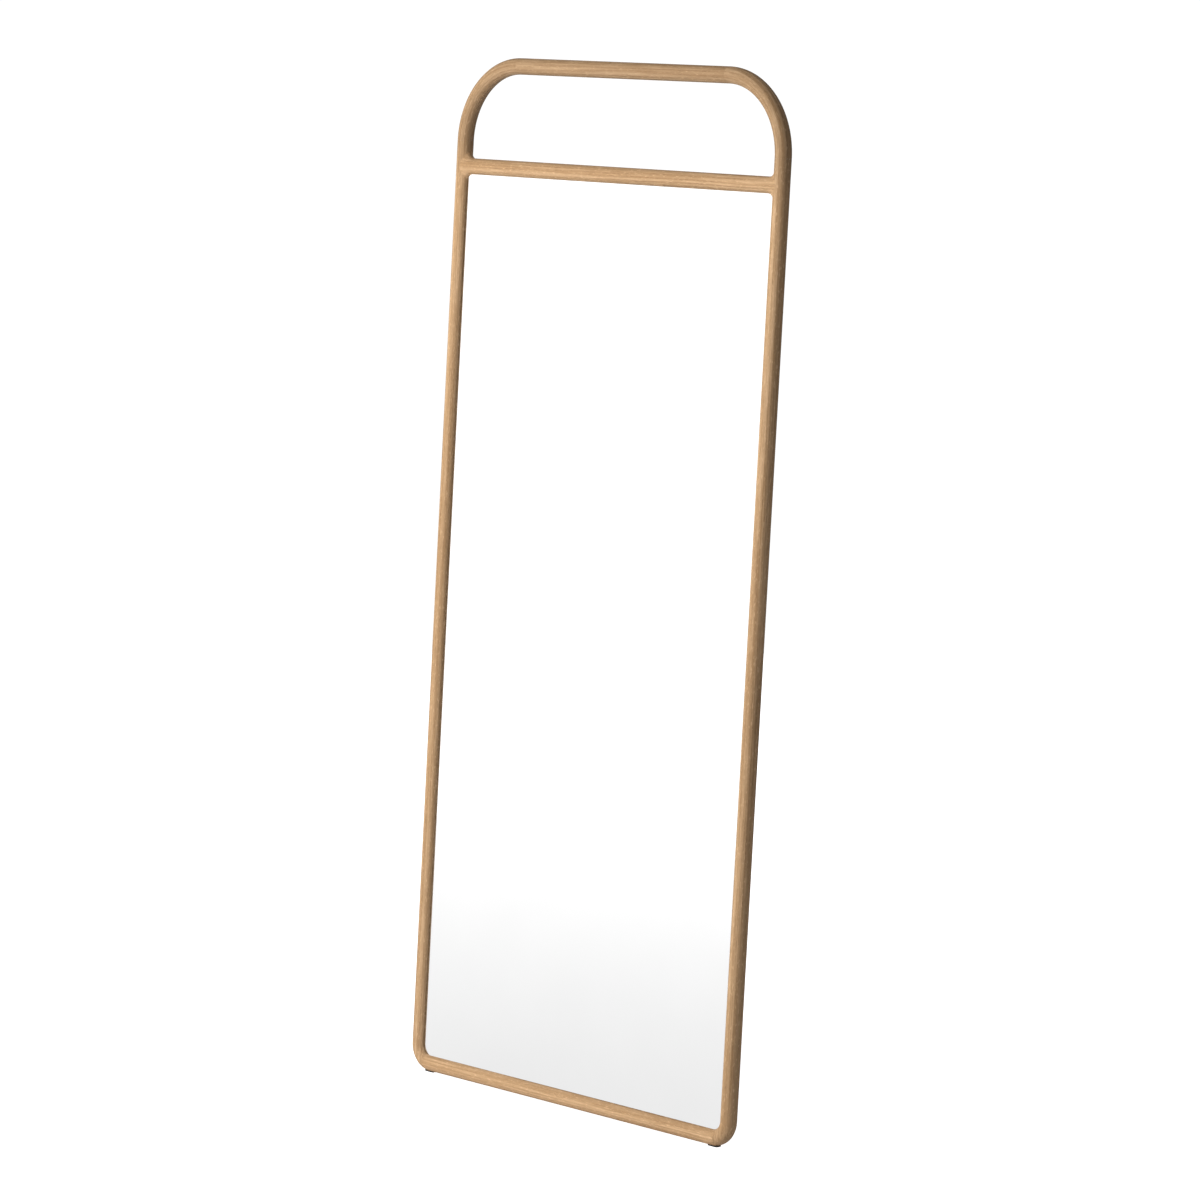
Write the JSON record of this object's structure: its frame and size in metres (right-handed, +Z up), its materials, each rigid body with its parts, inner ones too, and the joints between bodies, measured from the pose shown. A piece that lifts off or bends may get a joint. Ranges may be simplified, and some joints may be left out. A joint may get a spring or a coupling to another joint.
{
  "type": "leaning floor mirror",
  "caption": "Full-length mirror that leans on a wall: a round-section oak frame with curved top corners, and an open hanging gap between the top rail and the cross rail above the glass.",
  "frame": {"origin": "on the floor, below the centre of the mirror's box as it leans at rest", "axes": "+Z up from the floor, +Y towards the wall the mirror leans on, +X to the right as seen by someone facing the glass"},
  "size_m": [0.8, 0.153, 1.7969],
  "materials": {
    "oak": "oiled, satin",
    "beech": "plain",
    "silvered_glass": "polished",
    "safety_film": "satin",
    "foam": "matte",
    "fibreboard": "matte",
    "zinc_plated_steel": "satin",
    "dark_rubber": "matte"
  },
  "bodies": {
    "root": {"top_rail": "oak", "cross_rail": "oak", "bottom_rail": "oak", "stile_left": "oak", "stile_right": "oak", "top_corner_left": "oak", "top_corner_right": "oak", "cross_rail_dowel_lower_left": "beech", "cross_rail_dowel_upper_left": "beech", "bottom_rail_dowel_left": "beech", "stile_dowel_left": "beech", "top_rail_dowel_left": "beech", "cross_rail_dowel_lower_right": "beech", "cross_rail_dowel_upper_right": "beech", "bottom_rail_dowel_right": "beech", "stile_dowel_right": "beech", "top_rail_dowel_right": "beech", "mirror_glass": "silvered_glass", "safety_film": "safety_film", "foam_liner": "foam", "back_panel": "fibreboard", "panel_screw_01": "zinc_plated_steel", "panel_screw_02": "zinc_plated_steel", "panel_screw_03": "zinc_plated_steel", "panel_screw_04": "zinc_plated_steel", "panel_screw_05": "zinc_plated_steel", "panel_screw_06": "zinc_plated_steel", "panel_screw_07": "zinc_plated_steel", "panel_screw_08": "zinc_plated_steel", "panel_screw_09": "zinc_plated_steel", "panel_screw_10": "zinc_plated_steel", "panel_screw_11": "zinc_plated_steel", "panel_screw_12": "zinc_plated_steel", "panel_screw_13": "zinc_plated_steel", "panel_screw_14": "zinc_plated_steel", "panel_screw_15": "zinc_plated_steel", "panel_screw_16": "zinc_plated_steel", "anti_slip_pad_left": "dark_rubber", "anti_slip_pad_right": "dark_rubber", "wall_bumper_left": "dark_rubber", "wall_bumper_right": "dark_rubber"}
  },
  "joints": []
}
